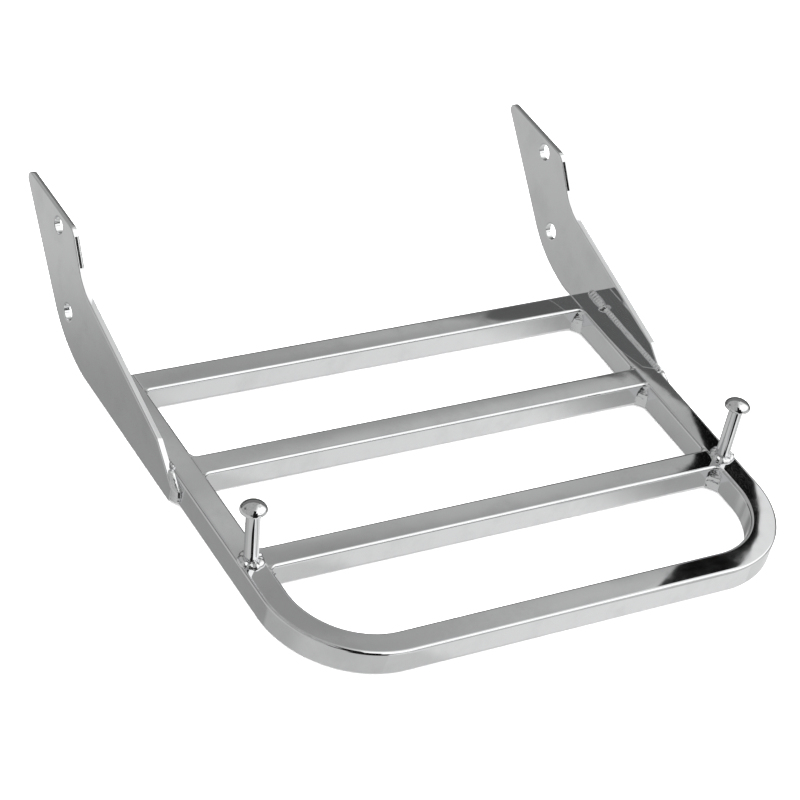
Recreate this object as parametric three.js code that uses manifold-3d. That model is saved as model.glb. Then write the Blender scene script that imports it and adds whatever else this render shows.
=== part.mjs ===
// A welded steel luggage rack for the back of a motorcycle, chrome plated all over.
// A square bar bent into a U is the outer rail, three square crossbars close it, two flat side
// plates rise forward to the bolting holes, and two headed posts hold tie-down straps.
// Millimetres, +X right, +Y forward to the motorcycle, +Z up, standing on z = 0.

import * as THREE from 'three';
import { mergeVertices } from 'three/addons/utils/BufferGeometryUtils.js';
import Module from 'manifold-3d';

const wasm = await Module();
wasm.setup();

// The deck: square bar, measured over its outside faces.
const BAR = 12.7;
const BAR_EDGE_RADIUS = 1.2;
const RACK_WIDTH = 270;
const DECK_LENGTH = 200;
const LOOP_RADIUS = 48.5;
const RAIL_END_RADIUS = 2;
const CROSSBARS = { front: 0, middle: -60, rear: -123 }; // y of each bar's front face

// The side plates, as an outline in the plane of the plate.
const PLATE_THICKNESS = 3.2;
const PLATE_TOP = 60.8;
const PLATE_EDGE_BEVEL = 0.4;
const FRONT_EDGE_SLOPE = THREE.MathUtils.degToRad(42.5);
const FRONT_EDGE_FOOT = 36.8;
const FOOT_RADIUS = 60;
const TIP_RADIUS = 3;
const SHOULDER_Y = 50;
const SHOULDER_RADIUS = 7;
const WAIST = { y: 32, z: 40.2 };
const WAIST_RADIUS = 30;
const KINK = { y: -53.5, z: 20.2 };
const KINK_RADIUS = 5;
const PLATE_REAR_HEIGHT = 7.6;
const BOLT_HOLE_DIAMETER = 8.4;
const BOLT_HOLES = [{ y: 63, z: 54 }, { y: 40.8, z: 20 }];

// The tie-down posts, each leaning outward and forward over a crossing of bars.
const POST_DIAMETER = 6.8;
const POST_HEAD_DIAMETER = 12.6;
const POST_SHOULDER = 26; // underside of the head, along the post
const POST_RIM_RADIUS = 1.3;
const POST_DOME_HEIGHT = 3.8;
const LEAN_OUTWARD = THREE.MathUtils.degToRad(5);
const LEAN_FORWARD = THREE.MathUtils.degToRad(8);

// The weld beads.
const CORNER_BEAD_LEG = 3;
const PLATE_BEAD_LEG = 3;
const START_BEAD_LEG = 4.5;
const START_BEAD_LENGTH = 8;
const PLATE_BEAD_END = -60;
const END_BEAD_LENGTH = 4;
const FILLET_HOLLOW = 0.35; // 0.5 would leave a bead's face flat, and less draws it into the corner
const RING_RADIUS = 6.3;
const RING_HEIGHT = 1.8;
const RING_SKIRT = 0.5; // height of the collar's outer wall
const FIT_GAP = 0.3; // left round the stem, inside its ring bead

const ARC_SEGMENTS = 10;
const EDGE_SEGMENTS = 3;
const TURNED_SEGMENTS = 32;
const BURIED_LENGTH = 5; // below the deck's top, trimmed away again
const OVERCUT = 20;

const HALF_WIDTH = RACK_WIDTH / 2;
const RAIL_INNER = HALF_WIDTH - BAR;
const PLATE_REAR_END = CROSSBARS.middle - BAR; // in line with the middle bar's rear face
const SIDES = [{ name: 'left', sign: -1 }, { name: 'right', sign: 1 }];

// A closed outline through the given corners, each rounded by an arc of its own radius.
function roundedOutline(corners) {
  const shape = new THREE.Shape();
  corners.forEach((corner, i) => {
    const before = corners[(i + corners.length - 1) % corners.length];
    const after = corners[(i + 1) % corners.length];
    const at = new THREE.Vector2(corner.x, corner.y);
    const back = new THREE.Vector2(before.x, before.y).sub(at).normalize();
    const ahead = new THREE.Vector2(after.x, after.y).sub(at).normalize();
    if (!corner.r) {
      if (i === 0) shape.moveTo(at.x, at.y);
      else shape.lineTo(at.x, at.y);
      return;
    }
    const half = Math.acos(THREE.MathUtils.clamp(back.dot(ahead), -1, 1)) / 2;
    const centre = back.clone().add(ahead).normalize().multiplyScalar(corner.r / Math.sin(half)).add(at);
    const start = back.clone().multiplyScalar(corner.r / Math.tan(half)).add(at).sub(centre);
    const end = ahead.clone().multiplyScalar(corner.r / Math.tan(half)).add(at).sub(centre);
    if (i === 0) shape.moveTo(centre.x + start.x, centre.y + start.y);
    else shape.lineTo(centre.x + start.x, centre.y + start.y);
    shape.absarc(centre.x, centre.y, corner.r, start.angle(), end.angle(), start.cross(end) < 0);
  });
  shape.closePath();
  return shape;
}

// The section of a bead in an inside corner: the corner point, a leg along each wall and a
// hollow face between them.
function filletOutline(x, y, legX, legY) {
  const shape = new THREE.Shape();
  shape.moveTo(x, y);
  shape.lineTo(x + legX, y);
  shape.quadraticCurveTo(x + legX * FILLET_HOLLOW, y + legY * FILLET_HOLLOW, x, y + legY);
  shape.closePath();
  return shape;
}

function extrude(shape, depth, options = {}) {
  const plain = { depth, bevelEnabled: false, curveSegments: ARC_SEGMENTS };
  return new THREE.ExtrudeGeometry(shape, { ...plain, ...options });
}

// An extrusion whose edges are rounded, with its outline and its depth kept to size.
function extrudeRounded(shape, depth, radius, segments) {
  const size = { bevelThickness: radius, bevelSize: radius, bevelOffset: -radius };
  const bevel = { ...size, bevelEnabled: true, bevelSegments: segments };
  return extrude(shape, depth - 2 * radius, bevel).translate(0, 0, radius);
}

// Turns a solid drawn in (x, y) and extruded along z so that x, y, z become the three given axes.
function standAlong(geometry, axisX, axisY, axisZ) {
  return geometry.applyMatrix4(new THREE.Matrix4().makeBasis(axisX, axisY, axisZ));
}

const X = new THREE.Vector3(1, 0, 0);
const Y = new THREE.Vector3(0, 1, 0);
const Z = new THREE.Vector3(0, 0, 1);

function chrome() {
  return new THREE.MeshStandardMaterial({ color: 0xc9cbce, roughness: 0.07, metalness: 1 });
}

function toManifold(geometry) {
  const bare = geometry.clone();
  bare.deleteAttribute('normal');
  bare.deleteAttribute('uv');
  const merged = mergeVertices(bare, 1e-4);
  return new wasm.Manifold(new wasm.Mesh({
    numProp: 3,
    vertProperties: new Float32Array(merged.attributes.position.array),
    triVerts: new Uint32Array(merged.index.array),
  }));
}

function fromManifold(solid) {
  const mesh = solid.getMesh();
  const geometry = new THREE.BufferGeometry();
  geometry.setAttribute('position', new THREE.BufferAttribute(new Float32Array(mesh.vertProperties), 3));
  geometry.setIndex(new THREE.BufferAttribute(new Uint32Array(mesh.triVerts), 1));
  return geometry;
}

// What is left of a solid above the top faces of the deck.
function keepAboveDeck(geometry, at) {
  const cutter = new THREE.BoxGeometry(2 * OVERCUT, 2 * OVERCUT, OVERCUT);
  cutter.translate(at.x, at.y, BAR - OVERCUT / 2);
  return fromManifold(toManifold(geometry).subtract(toManifold(cutter)));
}

// The outer rail: one square bar bent into a U, open to the front.
function outerRail() {
  const inner = LOOP_RADIUS - BAR;
  const outline = roundedOutline([
    { x: -HALF_WIDTH, y: 0, r: RAIL_END_RADIUS },
    { x: -HALF_WIDTH, y: -DECK_LENGTH, r: LOOP_RADIUS },
    { x: HALF_WIDTH, y: -DECK_LENGTH, r: LOOP_RADIUS },
    { x: HALF_WIDTH, y: 0, r: RAIL_END_RADIUS },
    { x: RAIL_INNER, y: 0, r: 0 },
    { x: RAIL_INNER, y: -DECK_LENGTH + BAR, r: inner },
    { x: -RAIL_INNER, y: -DECK_LENGTH + BAR, r: inner },
    { x: -RAIL_INNER, y: 0, r: 0 },
  ]);
  return extrudeRounded(outline, BAR, BAR_EDGE_RADIUS, EDGE_SEGMENTS);
}

// A crossbar: straight square bar between the rail's inner faces.
function crossbar(frontFace) {
  const section = roundedOutline([
    { x: frontFace, y: 0, r: BAR_EDGE_RADIUS },
    { x: frontFace, y: BAR, r: BAR_EDGE_RADIUS },
    { x: frontFace - BAR, y: BAR, r: BAR_EDGE_RADIUS },
    { x: frontFace - BAR, y: 0, r: BAR_EDGE_RADIUS },
  ]);
  const bar = extrude(section, 2 * RAIL_INNER, { curveSegments: EDGE_SEGMENTS });
  return standAlong(bar, Y, Z, X).translate(-RAIL_INNER, 0, 0);
}

// A side plate: flat on the rail's outer face, its tail low beside the middle crossbar and its
// head raised forward of the deck, where the two bolts go through.
function sidePlate() {
  const tip = FRONT_EDGE_FOOT + PLATE_TOP / Math.tan(FRONT_EDGE_SLOPE);
  const outline = roundedOutline([
    { x: PLATE_REAR_END, y: 0, r: 0 },
    { x: FRONT_EDGE_FOOT, y: 0, r: FOOT_RADIUS },
    { x: tip, y: PLATE_TOP, r: TIP_RADIUS },
    { x: SHOULDER_Y, y: PLATE_TOP, r: SHOULDER_RADIUS },
    { x: WAIST.y, y: WAIST.z, r: WAIST_RADIUS },
    { x: KINK.y, y: KINK.z, r: KINK_RADIUS },
    { x: PLATE_REAR_END, y: PLATE_REAR_HEIGHT, r: 0 },
  ]);
  for (const hole of BOLT_HOLES) {
    const bore = new THREE.Path();
    bore.absarc(hole.y, hole.z, BOLT_HOLE_DIAMETER / 2, 0, 2 * Math.PI, true);
    outline.holes.push(bore);
  }
  const plate = extrudeRounded(outline, PLATE_THICKNESS, PLATE_EDGE_BEVEL, 1);
  return standAlong(plate, Y, Z, X);
}

// A tie-down post turned from round bar, its foot at the origin and its axis along z: a plain
// stem under a low dome.
function uprightPost() {
  const stem = POST_DIAMETER / 2;
  const head = POST_HEAD_DIAMETER / 2;
  const rimHeight = POST_SHOULDER + POST_RIM_RADIUS;
  const profile = [
    new THREE.Vector2(0, -BURIED_LENGTH),
    new THREE.Vector2(stem, -BURIED_LENGTH),
    new THREE.Vector2(stem, POST_SHOULDER),
  ];
  const rim = new THREE.Path();
  rim.absarc(head - POST_RIM_RADIUS, rimHeight, POST_RIM_RADIUS, -Math.PI / 2, 0, false);
  const dome = new THREE.Path();
  dome.absellipse(0, rimHeight, head, POST_DOME_HEIGHT, 0, Math.PI / 2, false, 0);
  profile.push(...rim.getPoints(EDGE_SEGMENTS), ...dome.getPoints(ARC_SEGMENTS).slice(1, -1));
  profile.push(new THREE.Vector2(0, rimHeight + POST_DOME_HEIGHT));
  return new THREE.LatheGeometry(profile, TURNED_SEGMENTS).rotateX(Math.PI / 2);
}

// The ring bead round a post's foot: a low collar whose top slopes down away from the stem.
function uprightRing() {
  const bore = POST_DIAMETER / 2 + FIT_GAP;
  const profile = [
    new THREE.Vector2(bore, -BURIED_LENGTH),
    new THREE.Vector2(RING_RADIUS, -BURIED_LENGTH),
    new THREE.Vector2(RING_RADIUS, RING_SKIRT),
    new THREE.Vector2((bore + RING_RADIUS) / 2, (RING_SKIRT + RING_HEIGHT) / 2),
    new THREE.Vector2(bore, RING_HEIGHT),
    new THREE.Vector2(bore, -BURIED_LENGTH),
  ];
  return new THREE.LatheGeometry(profile, TURNED_SEGMENTS).rotateX(Math.PI / 2);
}

// Leans a turned solid over the rear crossing on one side and trims it to the deck.
function plantOnDeck(geometry, sign) {
  const foot = new THREE.Vector3(sign * (HALF_WIDTH - BAR / 2), CROSSBARS.rear - BAR / 2, BAR);
  const lean = new THREE.Vector3(sign * Math.tan(LEAN_OUTWARD), Math.tan(LEAN_FORWARD), 1).normalize();
  geometry.applyQuaternion(new THREE.Quaternion().setFromUnitVectors(Z, lean));
  return keepAboveDeck(geometry.translate(foot.x, foot.y, foot.z), foot);
}

// An upright bead in the corner between a crossbar's face and the rail.
function cornerBead(sign, y, legY) {
  const outline = filletOutline(sign * RAIL_INNER, y, -sign * CORNER_BEAD_LEG, legY);
  return extrude(outline, BAR - 2 * BAR_EDGE_RADIUS).translate(0, 0, BAR_EDGE_RADIUS);
}

// A bead along the rail's top, against the inner face of a side plate, from one y back to another.
function plateBead(sign, leg, from, to) {
  const bead = extrude(filletOutline(sign * HALF_WIDTH, BAR, -sign * leg, leg), from - to);
  return standAlong(bead, X, Z, Y.clone().negate()).translate(0, from, 0);
}

// The upright bead that closes a side plate's rear end against the rail.
function plateEndBead(sign) {
  const outline = filletOutline(sign * HALF_WIDTH, PLATE_REAR_END, sign * PLATE_THICKNESS, -END_BEAD_LENGTH);
  return extrude(outline, PLATE_REAR_HEIGHT - 2 * BAR_EDGE_RADIUS).translate(0, 0, BAR_EDGE_RADIUS);
}

const deck = new THREE.Group();

function add(name, geometry, x = 0) {
  const mesh = new THREE.Mesh(geometry, chrome());
  mesh.name = name;
  mesh.position.x = x;
  deck.add(mesh);
  return mesh;
}

add('outer_rail', outerRail());
for (const [name, frontFace] of Object.entries(CROSSBARS)) {
  add(`${name}_crossbar`, crossbar(frontFace));
}
for (const { name: side, sign } of SIDES) {
  add(`${side}_side_plate`, sidePlate(), sign > 0 ? HALF_WIDTH : -HALF_WIDTH - PLATE_THICKNESS);
  add(`${side}_tie_down_post`, plantOnDeck(uprightPost(), sign));
  add(`${side}_post_ring_weld`, plantOnDeck(uprightRing(), sign));
  add(`${side}_plate_start_weld`, plateBead(sign, START_BEAD_LEG, -RAIL_END_RADIUS, -START_BEAD_LENGTH));
  add(`${side}_plate_long_weld`, plateBead(sign, PLATE_BEAD_LEG, -START_BEAD_LENGTH, PLATE_BEAD_END));
  add(`${side}_plate_end_weld`, plateEndBead(sign));
  for (const [bar, frontFace] of Object.entries(CROSSBARS)) {
    // The front bar is flush with the rail's ends, so it has a corner only on its rear side.
    if (bar !== 'front') add(`${side}_${bar}_bar_front_weld`, cornerBead(sign, frontFace, CORNER_BEAD_LEG));
    add(`${side}_${bar}_bar_rear_weld`, cornerBead(sign, frontFace - BAR, -CORNER_BEAD_LEG));
  }
}

// The origin is under the middle of the whole rack.
const bounds = new THREE.Box3().setFromObject(deck);
deck.position.y = -(bounds.min.y + bounds.max.y) / 2;

const rack = new THREE.Group();
rack.add(deck);

export default rack;
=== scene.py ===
"""A welded, chrome-plated luggage rack for a motorcycle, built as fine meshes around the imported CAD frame."""

import math

import bmesh
import bpy
from mathutils import Matrix, Vector, noise

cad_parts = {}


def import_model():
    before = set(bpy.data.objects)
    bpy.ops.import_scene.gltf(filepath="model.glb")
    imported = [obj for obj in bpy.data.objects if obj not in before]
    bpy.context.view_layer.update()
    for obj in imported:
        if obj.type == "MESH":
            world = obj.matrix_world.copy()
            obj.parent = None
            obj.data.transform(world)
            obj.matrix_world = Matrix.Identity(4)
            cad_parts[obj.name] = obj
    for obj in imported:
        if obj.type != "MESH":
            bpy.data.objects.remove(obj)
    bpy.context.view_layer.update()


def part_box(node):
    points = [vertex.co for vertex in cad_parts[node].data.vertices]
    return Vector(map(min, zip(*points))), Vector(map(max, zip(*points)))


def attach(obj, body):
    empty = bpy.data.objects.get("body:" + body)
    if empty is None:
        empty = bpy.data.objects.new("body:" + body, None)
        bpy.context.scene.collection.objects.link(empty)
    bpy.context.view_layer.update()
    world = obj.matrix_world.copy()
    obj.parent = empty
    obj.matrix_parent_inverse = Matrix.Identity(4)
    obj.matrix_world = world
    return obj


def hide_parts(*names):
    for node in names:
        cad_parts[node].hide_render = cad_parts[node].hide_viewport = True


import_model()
scene = bpy.context.scene

# Shapes are worked out in millimetres, in the CAD frame: +X right, +Y forward, +Z up.
MM = 0.001


def node_box(node):
    low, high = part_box(node)
    return low / MM, high / MM


rail_low, rail_high = node_box("outer_rail")
plate_low, plate_high = node_box("right_side_plate")

BAR = rail_high.z - rail_low.z
HALF_BAR = BAR / 2
HALF_WIDTH = rail_high.x
RAIL_INNER = HALF_WIDTH - BAR
FRONT = rail_high.y
REAR = rail_low.y
DECK_TOP = rail_high.z

LOOP_RADIUS = 48.5          # outside of the rear bends
EDGE_RADIUS = 1.2           # along the square bar's edges
CROWN = 0.015               # how far a bar's faces fall from their middle to their edges
RAIL_END_RADIUS = 2.0       # the rail's front outer corners, seen from above
LAP = EDGE_RADIUS           # how far a crossbar reaches into the rail's rounded edge
END_SINK = 0.01             # how far a crossbar's ends dip, to meet the rail's crowned faces
DIP_LENGTH = 5.0

POST_RADIUS = 3.4
HEAD_RADIUS = 6.3
SHOULDER = 26.0             # underside of a post's head, along the post
RIM_RADIUS = 1.3
DOME_HEIGHT = 3.8
NECK_FILLET = 0.9
LEAN_OUTWARD = math.radians(5)
LEAN_FORWARD = math.radians(8)

PLATE_EDGE = 0.45
HOLE_RADIUS = 4.2
HOLE_EDGE = 0.2
EDGE_CROWN = 0.05           # how far a plate's cut edge swells between its two faces
SKIN = 0.02                 # kept inside the CAD outline, whose arcs are faceted
FLAT_MARGIN = 0.5           # flat strip kept beside a rounded edge, so that the flat shades flat

ARC_STEP = math.radians(3)
EDGE_STEPS = 8
SIDES = {"left": -1, "right": 1}


# ---------------------------------------------------------------- mesh helpers

def quarter(steps):
    """Angles of a quarter turn, both ends included."""
    return [math.pi / 2 * i / steps for i in range(steps + 1)]


def smooth(low, high, value):
    """0 below low, 1 above high, and an even S between them."""
    t = min(1.0, max(0.0, (value - low) / (high - low)))
    return t * t * (3 - 2 * t)


def along_keys(keys, at):
    """The row of values at one place, eased between given rows of (place, value, ...)."""
    for first, second in zip(keys, keys[1:]):
        if at <= second[0]:
            share = smooth(first[0], second[0], at)
            return [a + (b - a) * share for a, b in zip(first[1:], second[1:])]
    return list(keys[-1][1:])


def lump(x, y, z, scale):
    """A smooth uneven value from about -1 to 1, the same on every run."""
    return noise.noise(Vector((x, y, z)) / scale)


def join_rings(bm, first, second):
    count = len(first)
    for i in range(count):
        bm.faces.new((first[i], first[(i + 1) % count], second[(i + 1) % count], second[i]))


def skin(rings, endless=False):
    """A closed body through rings of points. The end rings are capped unless the last meets the first."""
    bm = bmesh.new()
    loops = [[bm.verts.new(point) for point in ring] for ring in rings]
    for first, second in zip(loops, loops[1:]):
        join_rings(bm, first, second)
    if endless:
        join_rings(bm, loops[-1], loops[0])
    else:
        bm.faces.new(loops[0])
        bm.faces.new(loops[-1])
    return bm


def finish_piece(node, bm, slot):
    """Makes the piece that stands for a CAD node, riding on the one body, in its slot's chrome."""
    bmesh.ops.recalc_face_normals(bm, faces=bm.faces)
    for face in bm.faces:
        face.smooth = len(face.verts) <= 4      # the many-sided end caps stay flat
    name = node + "_plated"
    mesh = bpy.data.meshes.new(name)
    bm.to_mesh(mesh)
    bm.free()
    mesh.transform(Matrix.Scale(MM, 4))
    mesh.materials.append(finishes[slot])
    piece = bpy.data.objects.new(name, mesh)
    scene.collection.objects.link(piece)
    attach(piece, "root")
    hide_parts(node)
    return piece


# ---------------------------------------------------------------- the deck's square bars

def bar_section(inner, outer, low, high, crown):
    """(across, up) points round a square bar with soft edges and faintly crowned faces."""
    r = EDGE_RADIUS
    corners = [
        (outer - r, low + r, -math.pi / 2),
        (outer - r, high - r, 0.0),
        (inner + r, high - r, math.pi / 2),
        (inner + r, low + r, math.pi),
    ]
    arcs = [
        [(x + r * math.cos(start + turn), z + r * math.sin(start + turn)) for turn in quarter(EDGE_STEPS)]
        for x, z, start in corners
    ]
    points = []
    for arc, following in zip(arcs, arcs[1:] + arcs[:1]):
        points += arc
        (x0, z0), (x1, z1) = arc[-1], following[0]
        points += [(x0 + (x1 - x0) * f, z0 + (z1 - z0) * f) for f in (0.04, 0.2, 0.4, 0.6, 0.8, 0.96)]
    return [crowned(across, up, crown) for across, up in points]


def crowned(across, up, crown):
    rise = (up - HALF_BAR) / HALF_BAR
    reach = across / HALF_BAR
    return (
        across * (1 - crown / HALF_BAR * rise * rise),
        HALF_BAR + (up - HALF_BAR) * (1 - crown / HALF_BAR * reach * reach),
    )


def end_inset(distance, radius):
    """How far a rounded end has drawn in, at a distance from its tip."""
    if distance >= radius:
        return 0.0
    return radius - math.sqrt(radius * radius - (radius - distance) ** 2)


def end_distances(radius):
    return [radius * (1 - math.sin(turn)) for turn in quarter(EDGE_STEPS)]


def rail_stations():
    """(x, y, outward x, outward y, distance from the nearer end) along the U, from the left end round."""
    centre = HALF_WIDTH - HALF_BAR
    bend_y = REAR + LOOP_RADIUS
    bend_x = HALF_WIDTH - LOOP_RADIUS
    radius = LOOP_RADIUS - HALF_BAR
    ends = sorted(set(end_distances(EDGE_RADIUS) + end_distances(RAIL_END_RADIUS)))
    length = FRONT - bend_y
    runs = ends + [length * i / 12 for i in range(1, 12)]
    steps = round(math.pi / 2 / ARC_STEP * 2)
    turns = [math.pi / 2 * i / steps for i in range(steps + 1)]
    left = [(-centre, FRONT - run, -1.0, 0.0, run) for run in runs]
    for turn in turns:
        out_x, out_y = -math.cos(turn), -math.sin(turn)
        left.append((-bend_x + radius * out_x, bend_y + radius * out_y, out_x, out_y, length))
    straight = [(bend_x * (2 * i / 12 - 1), REAR + HALF_BAR, 0.0, -1.0, length) for i in range(1, 12)]
    right = [(-x, y, -out_x, out_y, run) for x, y, out_x, out_y, run in reversed(left)]
    return left + straight + right


def rail_ring(x, y, out_x, out_y, run):
    shrink = end_inset(run, EDGE_RADIUS)
    narrow = end_inset(run, RAIL_END_RADIUS)
    section = bar_section(-HALF_BAR, HALF_BAR - narrow, shrink, BAR - shrink, CROWN)
    return [(x + out_x * across, y + out_y * across, up) for across, up in section]


def outer_rail():
    finish_piece("outer_rail", skin([rail_ring(*station) for station in rail_stations()]), "chrome_rail")


def crossbar(node):
    """A square bar across the deck, dipping at its ends to run smoothly on to the rail's crowned faces."""
    low, high = node_box(node)
    middle = (low.y + high.y) / 2
    reach = RAIL_INNER + LAP
    gaps = [0, 1, 2, 3.5, 5, 8, 12, 16, 25, 45, 70, 100]
    stations = [gap - reach for gap in gaps] + [reach - gap for gap in reversed(gaps)]
    rings = []
    for x in stations:
        crown = CROWN * smooth(DIP_LENGTH, 16, reach - abs(x))
        dip = END_SINK * max(0.0, 1 - (reach - abs(x)) / DIP_LENGTH) ** 2
        section = bar_section(-HALF_BAR, HALF_BAR, dip, BAR - dip, crown)
        rings.append([(x, middle + across, up) for across, up in section])
    finish_piece(node, skin(rings), "chrome_rail")


# ---------------------------------------------------------------- the side plates

def plate_corners():
    """(forward of the plate's rear end, height, corner radius), from the rear bottom corner round."""
    top = plate_high.z
    return [
        (0.0, 0.0, 0.8),
        (109.5, 0.0, 60.0),
        (175.85, top, 3.0),
        (122.7, top, 7.0),
        (104.7, 40.2, 30.0),
        (19.2, 20.2, 5.0),
        (0.0, 7.6, 0.8),
    ]


BOLT_HOLES = [(135.7, 54.0), (113.5, 20.0)]     # forward of the plate's rear end, height


def rounded_corner(before, at, after, radius):
    """Points of the arc that rounds one corner of an outline."""
    back = (before - at).normalized()
    ahead = (after - at).normalized()
    half = back.angle(ahead) / 2
    centre = at + (back + ahead).normalized() * (radius / math.sin(half))
    start = at + back * (radius / math.tan(half)) - centre
    turn = math.pi - 2 * half
    side = 1 if back.x * ahead.y - back.y * ahead.x < 0 else -1
    steps = max(3, round(turn / ARC_STEP))
    return [centre + Matrix.Rotation(side * turn * i / steps, 2) @ start for i in range(steps + 1)]


def rounded_outline(corners):
    """The outline's arcs and straight runs. Points near each run's ends make it shade straight."""
    spots = [Vector((x, y)) for x, y, _ in corners]
    arcs = []
    for i, (_, _, radius) in enumerate(corners):
        arcs.append(rounded_corner(spots[i - 1], spots[i], spots[(i + 1) % len(spots)], radius))
    points = []
    for arc, following in zip(arcs, arcs[1:] + arcs[:1]):
        points += arc
        run = following[0] - arc[-1]
        near = min(0.3, 0.5 / run.length)
        points += [arc[-1] + run * share for share in (near, 0.5, 1 - near)]
    return points


def inset_outline(points, inset):
    """The outline moved inwards; its points run anticlockwise."""
    moved = []
    for i, point in enumerate(points):
        ahead = (points[(i + 1) % len(points)] - points[i - 1]).normalized()
        moved.append(point + Vector((-ahead.y, ahead.x)) * inset)
    return moved


def edge_profile(thickness, radius, crown):
    """(inset, depth) from one face to the other over a rounded edge, with a flat margin on each face."""
    near = [(radius * (1 - math.sin(turn)), radius * (1 - math.cos(turn))) for turn in quarter(4)]
    near = [(radius + FLAT_MARGIN, 0.0)] + near
    half = thickness / 2
    for share in (0.75, 0.5, 0.25):
        near.append((0.0, half + (radius - half) * share))
    near = [(inset + crown * (1 - depth / half) ** 2, depth) for inset, depth in near]
    return near + [(0.0, half)] + [(inset, thickness - depth) for inset, depth in reversed(near)]


def circle(x, y, radius, steps=72):
    turns = [2 * math.pi * i / steps for i in range(steps)]
    return [Vector((x + radius * math.cos(turn), y + radius * math.sin(turn))) for turn in turns]


def slab(outline, holes, thickness):
    """A flat plate with soft outer edges and round holes, drawn in (x, y) and thick along z."""
    bm = bmesh.new()
    walls = []
    outer = edge_profile(thickness, PLATE_EDGE, EDGE_CROWN)
    walls.append([[(*p, depth) for p in inset_outline(outline, SKIN + inset)] for inset, depth in outer])
    inner = edge_profile(thickness, HOLE_EDGE, 0.0)
    for x, y in holes:
        walls.append([[(*p, depth) for p in circle(x, y, HOLE_RADIUS + inset)] for inset, depth in inner])
    rims = {0: [], -1: []}
    for wall in walls:
        loops = [[bm.verts.new(point) for point in ring] for ring in wall]
        for first, second in zip(loops, loops[1:]):
            join_rings(bm, first, second)
        for face, edges in rims.items():
            loop = loops[face]
            edges += [bm.edges.get((a, b)) for a, b in zip(loop, loop[1:] + loop[:1])]
    for edges in rims.values():
        bmesh.ops.triangle_fill(bm, edges=edges, use_beauty=True)
    return bm


def side_plate(side):
    node = side + "_side_plate"
    low, high = node_box(node)
    bm = slab(rounded_outline(plate_corners()), BOLT_HOLES, high.x - low.x)
    place = Matrix(((0, 0, 1, low.x), (1, 0, 0, low.y), (0, 1, 0, 0), (0, 0, 0, 1)))
    bmesh.ops.transform(bm, matrix=place, verts=bm.verts)
    finish_piece(node, bm, "chrome_plate")


# ---------------------------------------------------------------- the tie-down posts

def post_foot(side):
    """Where a post stands: over the crossing of the rail and the rear crossbar."""
    low, high = node_box("rear_crossbar")
    return Vector((SIDES[side] * (HALF_WIDTH - HALF_BAR), (low.y + high.y) / 2, DECK_TOP))


def post_profile():
    """(radius, height) up a post: stem, neck fillet, rounded rim and domed head."""
    rim_height = SHOULDER + RIM_RADIUS
    rim_centre = HEAD_RADIUS - RIM_RADIUS
    points = [(POST_RADIUS, -1.0), (POST_RADIUS, 0.5), (POST_RADIUS, SHOULDER / 2)]
    for turn in quarter(6):
        inward = NECK_FILLET * (1 - math.cos(turn))
        points.append((POST_RADIUS + inward, SHOULDER - NECK_FILLET * (1 - math.sin(turn))))
    for turn in quarter(10):
        points.append((rim_centre + RIM_RADIUS * math.sin(turn), rim_height - RIM_RADIUS * math.cos(turn)))
    for turn in quarter(20)[1:-1]:
        points.append((HEAD_RADIUS * math.cos(turn), rim_height + DOME_HEIGHT * math.sin(turn)))
    points.append((0.05, rim_height + DOME_HEIGHT))
    return points


def tie_down_post(side):
    rings = [[(*p, height) for p in circle(0, 0, radius, 64)] for radius, height in post_profile()]
    bm = skin(rings)
    lean = Vector((SIDES[side] * math.tan(LEAN_OUTWARD), math.tan(LEAN_FORWARD), 1))
    turn = Vector((0, 0, 1)).rotation_difference(lean).to_matrix().to_4x4()
    bmesh.ops.transform(bm, matrix=Matrix.Translation(post_foot(side)) @ turn, verts=bm.verts)
    finish_piece(side + "_tie_down_post", bm, "chrome_post")


# ---------------------------------------------------------------- the weld beads

RING_INNER = 3.0            # hidden inside the post's stem
RING_OUTER = 6.6
RING_HEIGHT = 2.0
RING_RIPPLES = 9
RING_STEPS = 144
ROOT = Vector((0, 0, 0.6))  # how deep a ring bead reaches into the deck

CORNER_FILLET = 3.4
# Up a corner bead: height, leg, and 0 for a hollow face or 1 for a bulging one.
CORNER_KEYS = [
    (0.3, 3.4, 0.6),
    (1.4, 4.4, 0.6),
    (4.0, 4.2, 0.65),
    (7.2, 3.4, 0.7),
    (9.0, 2.6, 0.5),
    (10.0, 1.8, 0.2),
    (10.9, 2.6, 0.0),
    (11.5, CORNER_FILLET, 0.0),
    (BAR, CORNER_FILLET, 0.0),
]

RIPPLE_PITCH = 1.7
LONG_BEAD_LEG = 1.8
START_BEAD_LEG = 2.7
START_BEAD_BEGIN = 0.6      # this and the next two are behind the deck's front face
START_BEAD_END = 14.6
LONG_BEAD_END = 66.0
START_BEAD_NOSE = 3.2       # length of a bead's rounded ends
LONG_BEAD_NOSE = 1.0
BEAD_LAP = 0.4              # the long bead starts this far under the start bead's end
FIN_LENGTH = 3.4            # the long bead starts in a low wide fin against the start bead
FIN_LEG = 3.0
END_BEAD_FOOT = 0.7         # heights of the end bead's two ends
END_BEAD_TOP = 12.5
END_BEAD_REACH = 4.6
END_BEAD_STEPS = 48
BEAD_STEP = 0.22            # along a plate bead


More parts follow.
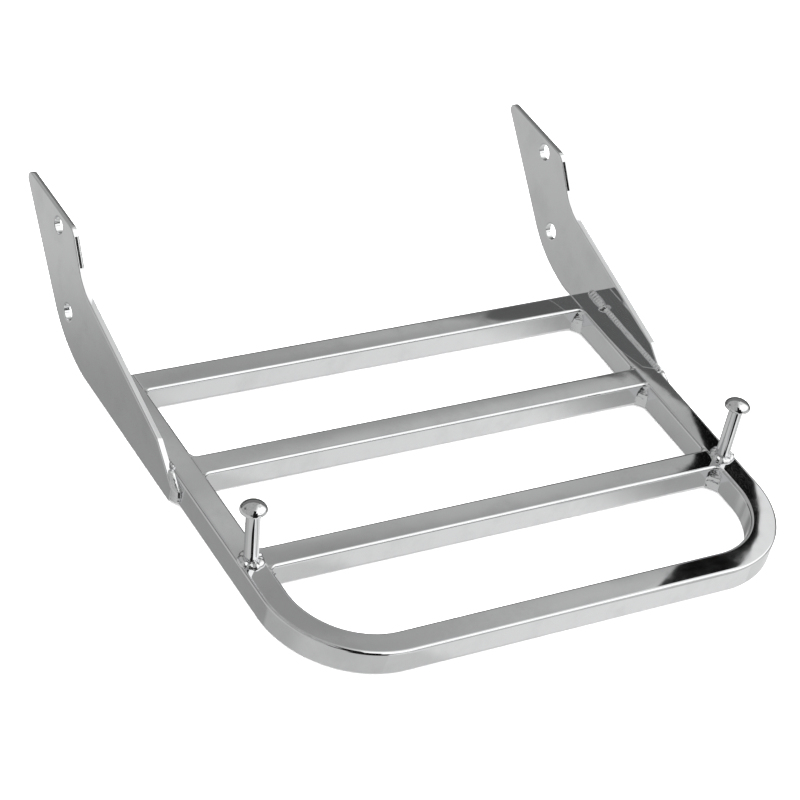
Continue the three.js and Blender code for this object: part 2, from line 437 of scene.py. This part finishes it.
def ring_weld(side):
    """The lumpy bead round a post's foot."""
    foot = post_foot(side)
    rings = []
    for i in range(RING_STEPS):
        angle = 2 * math.pi * i / RING_STEPS
        aim = Vector((math.cos(angle), math.sin(angle), 0))
        ripple = abs(math.sin(RING_RIPPLES * angle / 2 + 1.3 * math.sin(angle) + 0.8 * math.sin(3 * angle)))
        uneven = lump(4 * aim.x + foot.x, 4 * aim.y, 0.0, 2.6)
        width = (RING_OUTER - RING_INNER) * (0.84 + 0.07 * ripple + 0.22 * uneven)
        height = RING_HEIGHT * (0.80 + 0.14 * ripple + 0.30 * uneven)
        inner = foot + aim * RING_INNER
        ring = [inner - ROOT, inner + Vector((0, 0, height))]
        for turn in quarter(10):
            out = RING_INNER + width * (0.35 + 0.65 * math.sin(turn))
            ring.append(foot + aim * out + Vector((0, 0, height * math.cos(turn) - 0.12)))
        ring.append(foot + aim * (RING_INNER + width) - ROOT)
        rings.append(ring)
    finish_piece(side + "_post_ring_weld", skin(rings, endless=True), "chrome_weld")


def corner_curve(leg, bulge, edge, steps=14):
    """(along the rail, along the crossbar) points of a bead's face in the corner between two faces."""
    points = []
    for turn in [math.pi / 2 * i / steps for i in range(steps + 1)]:
        hollow = Vector((leg - (leg + edge) * math.sin(turn), leg - (leg + edge) * math.cos(turn)))
        across, along = math.cos(turn), math.sin(turn)
        full = Vector((leg * across - edge * along, leg * along - edge * across))
        points.append(hollow.lerp(full, 0.72 * bulge))
    return points


def corner_weld(side, bar, face):
    """An upright bead between a crossbar's face and the rail, flush on top, with a pocket under that."""
    low, high = node_box(bar + "_crossbar")
    start = Vector((SIDES[side] * RAIL_INNER, high.y if face == "front" else low.y))
    along = 1 if face == "front" else -1
    size = 1.22 if (bar, face) == ("rear", "rear") else 1.0
    heights = [0.3 + (BAR - EDGE_RADIUS - 0.3) * i / 44 for i in range(44)]
    heights += [BAR - EDGE_RADIUS * (1 - math.sin(turn)) for turn in quarter(EDGE_STEPS)]
    rings = []
    for height in heights:
        leg, bulge = along_keys(CORNER_KEYS, height)
        rough = 1 - smooth(BAR - 2.4, BAR - 1.2, height)
        edge = 0.15 + 0.9 * end_inset(BAR - height, EDGE_RADIUS)
        wander = lump(start.x, start.y + height, 2.0 * along, 2.9)
        leg *= size * (1 + 0.04 * rough * wander)
        ring = []
        for u, v in corner_curve(leg, bulge, edge):
            ring.append((start.x - SIDES[side] * v, start.y + along * u, height))
        back = 1.0 if height < BAR - EDGE_RADIUS else EDGE_RADIUS
        ring.append((start.x + SIDES[side] * back, start.y - along * back, height))
        rings.append(ring)
    finish_piece(f"{side}_{bar}_bar_{face}_weld", skin(rings), "chrome_weld")


def bead_ring(side, y, leg_up, leg_in, bulge):
    """The section of a bead in the corner between the rail's top and a side plate's inner face."""
    sign = SIDES[side]
    ring = [(sign * (HALF_WIDTH + 0.4), y, DECK_TOP - 1.2)]
    ring.append((sign * (HALF_WIDTH - leg_in * 0.8), y, DECK_TOP - 1.2))
    for turn in quarter(10):
        out = leg_in * (math.cos(turn) * bulge + (1 - math.sin(turn)) * (1 - bulge))
        up = leg_up * (math.sin(turn) * bulge + (1 - math.cos(turn)) * (1 - bulge))
        ring.append((sign * (HALF_WIDTH + 0.1 - out), y, DECK_TOP - 0.1 + up))
    ring.append((sign * (HALF_WIDTH + 0.4), y, DECK_TOP + leg_up * 0.9))
    return ring


def plate_bead(side, kind, begin, end, leg, end_length, fin=0.0):
    """A rippled bead along a side plate's foot, from begin to end behind the deck's front face."""
    rings = []
    steps = round((end - begin) / BEAD_STEP)
    for i in range(steps + 1):
        run = begin + (end - begin) * i / steps
        near_end = max(0, 1 - (run - begin) / end_length, 1 - (end - run) / end_length)
        taper = math.sqrt(max(0.02, 1 - near_end ** 2))
        strength = 0.5 + 0.5 * lump(run, 9.0, SIDES[side], 11.0)
        phase = 2.4 * lump(run, 0, SIDES[side], 6.0)
        ripple = math.sin(2 * math.pi * run / RIPPLE_PITCH + phase)
        wander = lump(run, SIDES[side] * 4.0, leg, 4.3)
        swell = leg * taper * (0.92 + 0.08 * strength * ripple + 0.12 * wander)
        flare = fin * (1 - smooth(begin, begin + FIN_LENGTH, run))
        rings.append(bead_ring(side, FRONT - run, swell + 0.3 * flare, swell + flare, 0.85))
    finish_piece(f"{side}_plate_{kind}_weld", skin(rings), "chrome_weld")


def plate_end_weld(side):
    """The bead that closes a side plate's rear end against the rail and climbs on to the plate's top edge."""
    sign = SIDES[side]
    thickness = plate_high.x - plate_low.x
    rear_corner, low_kink = plate_corners()[-1], plate_corners()[-2]
    climb = (low_kink[1] - rear_corner[1]) / (low_kink[0] - rear_corner[0])
    rings = []
    for i in range(END_BEAD_STEPS + 1):
        share = i / END_BEAD_STEPS
        height = END_BEAD_FOOT + (END_BEAD_TOP - END_BEAD_FOOT) * share
        forward = 0.85 * max(0.0, height - rear_corner[1]) / climb
        fullness = min(1.0, share * 5 + 0.1, (1 - share) * 2.3 + 0.04)
        taper = math.sqrt(1 - (1 - fullness) ** 2)
        wander = lump(height, plate_low.y, sign * 3.0, 3.0)
        reach = END_BEAD_REACH * taper * (1 - 0.35 * share) * (1 + 0.16 * wander)
        width = (thickness - 0.1) * (0.55 + 0.45 * taper)
        corner = plate_low.y + forward
        ring = [(sign * (HALF_WIDTH - 0.6), corner + 0.9, height)]
        for turn in quarter(14):
            out = width * math.sin(turn) ** 0.8
            back = reach * math.cos(turn) ** 1.3
            ring.append((sign * (HALF_WIDTH + out), corner - back, height))
        ring.append((sign * (HALF_WIDTH + width * 0.9), corner + 0.9, height))
        rings.append(ring)
    finish_piece(side + "_plate_end_weld", skin(rings), "chrome_weld")


# ---------------------------------------------------------------- node helpers

class Nodes:
    """A node tree written as a short list of steps."""

    def __init__(self, tree):
        self.tree = tree
        tree.nodes.clear()

    def add(self, kind, inputs=None, **settings):
        node = self.tree.nodes.new(kind)
        for key, value in settings.items():
            setattr(node, key, value)
        for key, value in (inputs or {}).items():
            self.feed(node.inputs[key], value)
        return node

    def feed(self, socket, value):
        if isinstance(value, bpy.types.NodeSocket):
            self.tree.links.new(value, socket)
        else:
            socket.default_value = value

    def math(self, operation, first, second=0.0, third=0.0):
        return self.add("ShaderNodeMath", {0: first, 1: second, 2: third}, operation=operation).outputs[0]

    def dot(self, first, second):
        node = self.add("ShaderNodeVectorMath", {0: first, 1: second}, operation="DOT_PRODUCT")
        return node.outputs["Value"]

    def ease(self, value, start, end, low=0.0, high=1.0):
        inputs = {"Value": value, "From Min": start, "From Max": end, "To Min": low, "To Max": high}
        return self.add("ShaderNodeMapRange", inputs, interpolation_type="SMOOTHSTEP").outputs["Result"]

    def blend(self, share, first, second):
        return self.add("ShaderNodeMix", {0: share, 2: first, 3: second}, data_type="FLOAT").outputs[0]


# ---------------------------------------------------------------- chrome

def chrome(name, tint, wave_height, wave_size, scratch_height, haze):
    """Polished plating: slow polishing waves, fine buffing lines, and a thin uneven haze."""
    material = bpy.data.materials.new(name)
    material.use_nodes = True
    nodes = Nodes(material.node_tree)
    place = nodes.add("ShaderNodeTexCoord").outputs["Object"]

    waves = nodes.add("ShaderNodeTexNoise", {"Vector": place, "Scale": 1 / wave_size, "Detail": 1.5})
    buffed = nodes.add("ShaderNodeMapping", {"Vector": place, "Scale": (9000.0, 700.0, 9000.0)})
    lines = nodes.add("ShaderNodeTexNoise", {"Vector": buffed.outputs[0], "Scale": 1.0, "Detail": 3.0})
    smudge = nodes.add(
        "ShaderNodeTexNoise", {"Vector": place, "Scale": 60.0, "Detail": 5.0, "Roughness": 0.6}
    )

    wave_bump = nodes.add("ShaderNodeBump", {"Height": waves.outputs[0], "Distance": wave_height})
    line_bump = nodes.add(
        "ShaderNodeBump",
        {"Height": lines.outputs[0], "Distance": scratch_height, "Normal": wave_bump.outputs[0]},
    )
    dulled = nodes.ease(smudge.outputs[0], 0.42, 0.75)
    rough = nodes.blend(dulled, haze, haze * 2.4)
    worn = tuple(channel * 0.93 for channel in tint)
    colour = nodes.add(
        "ShaderNodeMix", {0: dulled, 6: (*tint, 1.0), 7: (*worn, 1.0)}, data_type="RGBA",
    ).outputs[2]
    shader = nodes.add(
        "ShaderNodeBsdfPrincipled",
        {"Base Color": colour, "Roughness": rough, "Normal": line_bump.outputs[0]},
    )
    shader.inputs["Metallic"].default_value = 1.0
    output = nodes.add("ShaderNodeOutputMaterial")
    nodes.tree.links.new(shader.outputs[0], output.inputs[0])
    return material


finishes = {
    "chrome_rail": chrome("chrome_rail_finish", (0.79, 0.795, 0.80), 4e-5, 0.030, 1.2e-7, 0.022),
    "chrome_plate": chrome("chrome_plate_finish", (0.78, 0.785, 0.79), 4e-5, 0.045, 1.5e-7, 0.035),
    "chrome_post": chrome("chrome_post_finish", (0.80, 0.805, 0.81), 5e-6, 0.010, 1.0e-7, 0.015),
    "chrome_weld": chrome("chrome_weld_finish", (0.77, 0.775, 0.78), 2.2e-4, 0.0022, 2.0e-7, 0.13),
}


# ---------------------------------------------------------------- the studio

# What the chrome mirrors: cards and gaps placed round the rack to suit one viewpoint.
# Azimuth turns from +Y towards +X, elevation is above the horizon, all in degrees.
# Each card: azimuth, elevation, half width, half height, roll, softness, brightness.
# Later cards cover earlier ones.
STUDIO_CARDS = {
    "pale_floor_right": (80, -38, 30, 26, 0, 0.3, 0.76),
    "pale_floor_rear_right": (126, -40, 16, 24, 0, 0.06, 0.85),
    "white_floor_behind": (168, -18, 17, 16, 0, 0.3, 1.05),
    "grey_floor_left": (200, -48, 35, 14, 0, 0.6, 0.60),
    "grey_floor_rear_left": (148.7, -49.2, 10, 14, 57.6, 0.03, 0.64),
    "shaded_floor_right": (130.8, -29.3, 8.5, 4.5, 51.5, 0.12, 0.40),
    "fading_floor_left": (-66, -50, 22, 14, 0, 0.5, 0.47),
    "half_dim_floor_ahead": (-50, -46, 10, 12.2, 0, 0.12, 0.47),
    "grey_floor_ahead": (-8, -40, 13, 8, 0, 0.25, 0.45),
    "dark_floor_ahead": (18, -39, 10, 8, 0, 0.6, 0.25),
    "dim_floor_ahead": (-32, -47, 14, 9.8, 0, 0.15, 0.35),
    "grey_wall_ahead": (37, 5, 66, 30.4, 0, 0.01, 0.20),
    "dark_strip_ahead": (46.5, 34.6, 4.45, 1.05, 0, 0.03, 0.11),
    "overhead_softbox": (128, 49, 46, 34, 0, 0.4, 1.35),
    "pale_ceiling_ahead": (57, 54, 8, 7, 0, 0.2, 0.76),
    "front_horizon": (30, 2, 62, 5, 0, 0.3, 0.02),
    "rear_horizon": (178, 5, 31, 7, 0, 0.3, 0.02),
    "gap_table": (191, -18, 18, 19, 0, 0.08, 0.01),
    "gap_low": (197, 8, 33, 13, 0, 0.1, 0.01),
    "gap_middle": (197, 34, 17, 18, 0, 0.1, 0.01),
    "gap_high": (203, 62, 8, 16, 0, 0.1, 0.01),
    "bright_card_right": (58, 40, 8.1, 6, 0, 0.05, 0.88),
    "black_flag": (47.93, 37.5, 0.73, 2.3, 9, 0.06, 0.004),
    "black_bar_left": (150.6, 38.0, 3.8, 1.5, -20, 0.1, 0.01),
    "black_bar_right": (139.6, 34.4, 3.8, 1.5, -26, 0.1, 0.01),
    "dim_corner": (-43, 35, 9, 7, 0, 0.35, 0.15),
}
FLOOR_GREY = 0.60
CEILING_GREY = 0.42
CARD_CORNER = 16            # the higher, the squarer a card's corners


def toward(azimuth, elevation):
    a, e = math.radians(azimuth), math.radians(elevation)
    return Vector((math.sin(a) * math.cos(e), math.cos(a) * math.cos(e), math.sin(e)))


def card_mask(nodes, ray, azimuth, elevation, half_width, half_height, roll, softness):
    """1 on a rounded rectangular card seen in that direction, and 0 off it."""
    aim = toward(azimuth, elevation)
    side = toward(azimuth + 90, 0)
    rise = side.cross(aim)
    spin = Matrix.Rotation(math.radians(roll), 3, aim)
    ahead = nodes.dot(ray, aim)
    safe = nodes.math("MAXIMUM", ahead, 0.001)
    powers = []
    for axis, half in ((spin @ side, half_width), (spin @ rise, half_height)):
        across = nodes.math("DIVIDE", nodes.dot(ray, axis), safe)
        share = nodes.math("DIVIDE", nodes.math("ABSOLUTE", across), math.tan(math.radians(half)))
        powers.append(nodes.math("POWER", nodes.math("MINIMUM", share, 4.0), CARD_CORNER))
    away = nodes.math("POWER", nodes.math("ADD", *powers), 1 / CARD_CORNER)
    mask = nodes.ease(away, 1 - softness, 1 + softness, 1.0, 0.0)
    return nodes.math("MULTIPLY", mask, nodes.math("GREATER_THAN", ahead, 0.001))


def streaks(nodes, ray):
    """Soft slanting streaks on the studio's ceiling."""
    along = Vector((0.86, -0.29, -0.42))
    across = Vector((-0.08, 0.74, -0.67))
    x = nodes.math("MULTIPLY", nodes.dot(ray, along), 5.0)
    y = nodes.math("MULTIPLY", nodes.dot(ray, across), 26.0)
    place = nodes.add("ShaderNodeCombineXYZ", {0: x, 1: y}).outputs[0]
    cloud = nodes.add("ShaderNodeTexNoise", {"Vector": place, "Scale": 1.0, "Detail": 1.0})
    return nodes.ease(cloud.outputs[0], 0.3, 0.7, 0.78, 1.28)


def mirrored_room(nodes):
    """Brightness of the studio in the direction of a reflected ray."""
    ray = nodes.add("ShaderNodeTexCoord").outputs["Generated"]
    height = nodes.dot(ray, Vector((0, 0, 1)))
    ceiling = nodes.math("MULTIPLY", streaks(nodes, ray), CEILING_GREY)
    value = nodes.blend(nodes.ease(height, -0.05, 0.05), FLOOR_GREY, ceiling)
    for *shape, brightness in STUDIO_CARDS.values():
        value = nodes.blend(card_mask(nodes, ray, *shape), value, brightness)
    return value


PLAIN_LIGHT = 3.0           # strong enough to keep the pale floor clear of shadows


def world():
    """The chrome mirrors the studio's cards; the floor and the camera get plain white light."""
    room = bpy.data.worlds.new("studio")
    room.use_nodes = True
    nodes = Nodes(room.node_tree)
    mirrored = nodes.add("ShaderNodeBackground", {"Color": (1, 1, 1, 1), "Strength": mirrored_room(nodes)})
    plain = nodes.add("ShaderNodeBackground", {"Color": (1, 1, 1, 1), "Strength": PLAIN_LIGHT})
    kind = nodes.add("ShaderNodeLightPath")
    either = nodes.add("ShaderNodeMixShader")
    nodes.tree.links.new(kind.outputs["Is Glossy Ray"], either.inputs[0])
    nodes.tree.links.new(plain.outputs[0], either.inputs[1])
    nodes.tree.links.new(mirrored.outputs[0], either.inputs[2])
    output = nodes.add("ShaderNodeOutputWorld")
    nodes.tree.links.new(either.outputs[0], output.inputs[0])
    scene.world = room


def floor():
    """A wide pale floor under the rack. The chrome mirrors the studio below the horizon instead of it."""
    size = 6.0
    bm = bmesh.new()
    bmesh.ops.create_grid(bm, x_segments=8, y_segments=8, size=size)
    mesh = bpy.data.meshes.new("studio_floor")
    bm.to_mesh(mesh)
    bm.free()
    ground = bpy.data.objects.new("studio_floor", mesh)
    scene.collection.objects.link(ground)
    paint = bpy.data.materials.new("pale_floor")
    paint.use_nodes = True
    nodes = Nodes(paint.node_tree)
    place = nodes.add("ShaderNodeTexCoord").outputs["Object"]
    grain = nodes.add("ShaderNodeTexNoise", {"Vector": place, "Scale": 3.0, "Detail": 2.0})
    shade = nodes.add(
        "ShaderNodeMix", {0: grain.outputs[0], 6: (0.93, 0.93, 0.93, 1), 7: (0.95, 0.95, 0.95, 1)},
        data_type="RGBA",
    ).outputs[2]
    shader = nodes.add("ShaderNodeBsdfPrincipled", {"Base Color": shade, "Roughness": 0.9})
    output = nodes.add("ShaderNodeOutputMaterial")
    nodes.tree.links.new(shader.outputs[0], output.inputs[0])
    mesh.materials.append(paint)
    ground.location.z = -0.0005
    ground.visible_glossy = False


def area_light(name, azimuth, elevation, distance, size, power):
    lamp = bpy.data.lights.new(name, "AREA")
    lamp.size = size
    lamp.energy = power
    holder = bpy.data.objects.new(name, lamp)
    scene.collection.objects.link(holder)
    holder.location = toward(azimuth, elevation) * distance
    holder.rotation_mode = "QUATERNION"
    holder.rotation_quaternion = (-holder.location).to_track_quat("-Z", "Y")
    holder.visible_glossy = False
    return holder


CAMERA_PLACE = Vector((-0.7076, FRONT * MM - 0.8947, 0.8515))
CAMERA_HEADING = math.radians(39.694)       # from +Y towards +X
CAMERA_DIP = math.radians(37.406)
CAMERA_ROLL = math.radians(15.633)
CAMERA_LENS = 132.5


def camera():
    lens = bpy.data.cameras.new("camera")
    lens.lens = CAMERA_LENS
    lens.sensor_width = 36.0
    lens.clip_end = 50.0
    holder = bpy.data.objects.new("camera", lens)
    scene.collection.objects.link(holder)
    heading = Matrix.Rotation(-CAMERA_HEADING, 4, "Z")
    dip = Matrix.Rotation(math.pi / 2 - CAMERA_DIP, 4, "X")
    roll = Matrix.Rotation(CAMERA_ROLL, 4, "Z")
    holder.matrix_world = Matrix.Translation(CAMERA_PLACE) @ heading @ dip @ roll
    scene.camera = holder


# ---------------------------------------------------------------- putting it together

camera()
world()
floor()
area_light("soft_key", 150, 55, 2.4, 1.8, 18.0)
area_light("soft_fill", -60, 45, 2.4, 1.8, 8.0)
scene.view_settings.view_transform = "Standard"

outer_rail()
for bar_name in ("front", "middle", "rear"):
    crossbar(bar_name + "_crossbar")
for side_name in SIDES:
    side_plate(side_name)
    tie_down_post(side_name)
    ring_weld(side_name)
    for bar_name in ("front", "middle", "rear"):
        corner_weld(side_name, bar_name, "rear")
        if bar_name != "front":
            corner_weld(side_name, bar_name, "front")
    plate_bead(side_name, "start", START_BEAD_BEGIN, START_BEAD_END, START_BEAD_LEG, START_BEAD_NOSE)
    plate_bead(
        side_name, "long", START_BEAD_END - BEAD_LAP, LONG_BEAD_END, LONG_BEAD_LEG, LONG_BEAD_NOSE, FIN_LEG
    )
    plate_end_weld(side_name)
